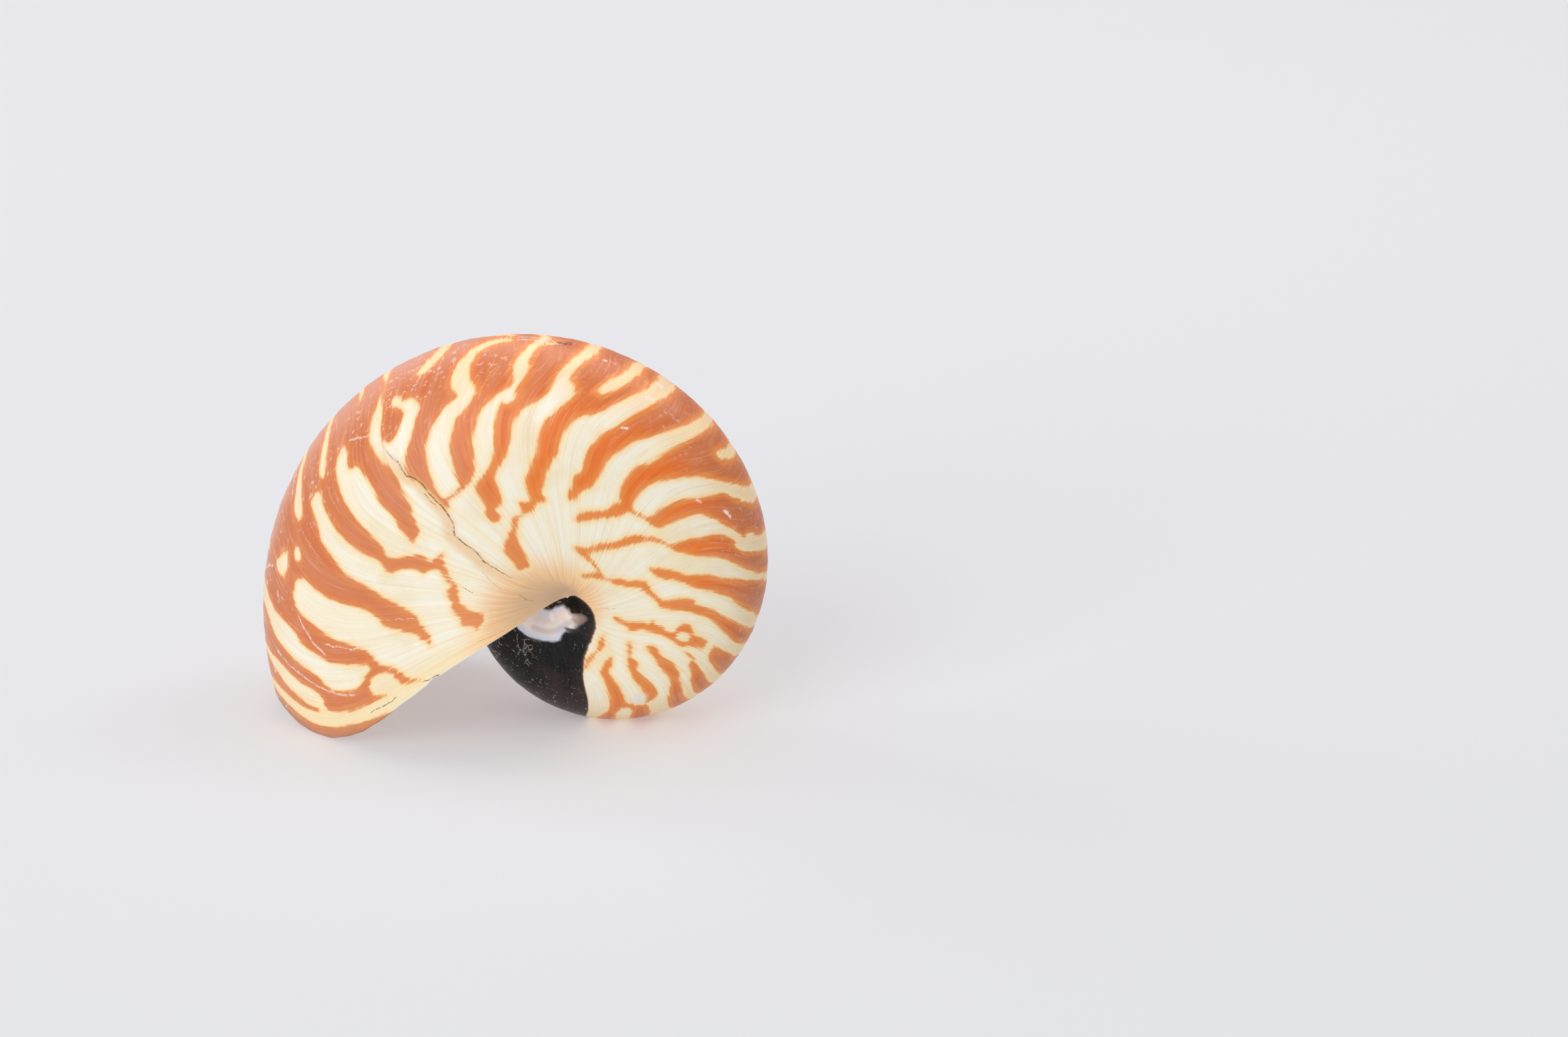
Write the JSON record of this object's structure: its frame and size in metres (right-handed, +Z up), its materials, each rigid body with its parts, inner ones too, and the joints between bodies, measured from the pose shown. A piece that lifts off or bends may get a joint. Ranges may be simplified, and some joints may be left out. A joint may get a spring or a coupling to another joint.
{
  "type": "nautilus shell",
  "caption": "Coiled nautilus shell, cream with rust stripes, standing on its lip and the back of its coil, with a thin-walled open living chamber and a dished back wall",
  "frame": {"origin": "on the surface that the shell stands on, under the middle of its bounding box", "axes": "+Z up; +Y across the shell along the coil's axis, so that y = 0 is its plane of symmetry; the mouth opens downwards on the -X side"},
  "size_m": [0.1364, 0.072, 0.1037],
  "materials": {
    "shell": "glossy"
  },
  "bodies": {
    "root": {"shell": "shell"}
  },
  "joints": []
}
